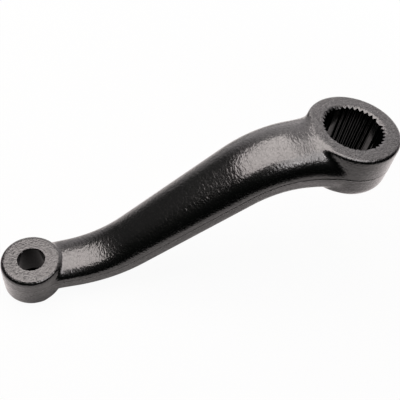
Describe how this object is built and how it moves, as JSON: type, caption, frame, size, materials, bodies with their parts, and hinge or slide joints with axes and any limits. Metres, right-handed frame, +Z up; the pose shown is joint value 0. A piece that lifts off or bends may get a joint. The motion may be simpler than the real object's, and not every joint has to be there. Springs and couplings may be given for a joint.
{
  "type": "pitman arm",
  "caption": "One-piece forged drop pitman arm: an S-bent steering lever with a splined socket at the upper eye and a tapered stud hole at the lower eye.",
  "frame": {"origin": "centre of the large eye's upper face, on the axis of the splined socket", "axes": "+Z up along the socket's axis towards the steering gear, -X along the arm towards the small eye, Y across the arm"},
  "size_m": [0.2162, 0.0528, 0.09],
  "materials": {
    "black_paint": "semi-gloss black paint over a drop-forged steel surface"
  },
  "bodies": {
    "root": {"pitman_arm": "black_paint"}
  },
  "joints": []
}
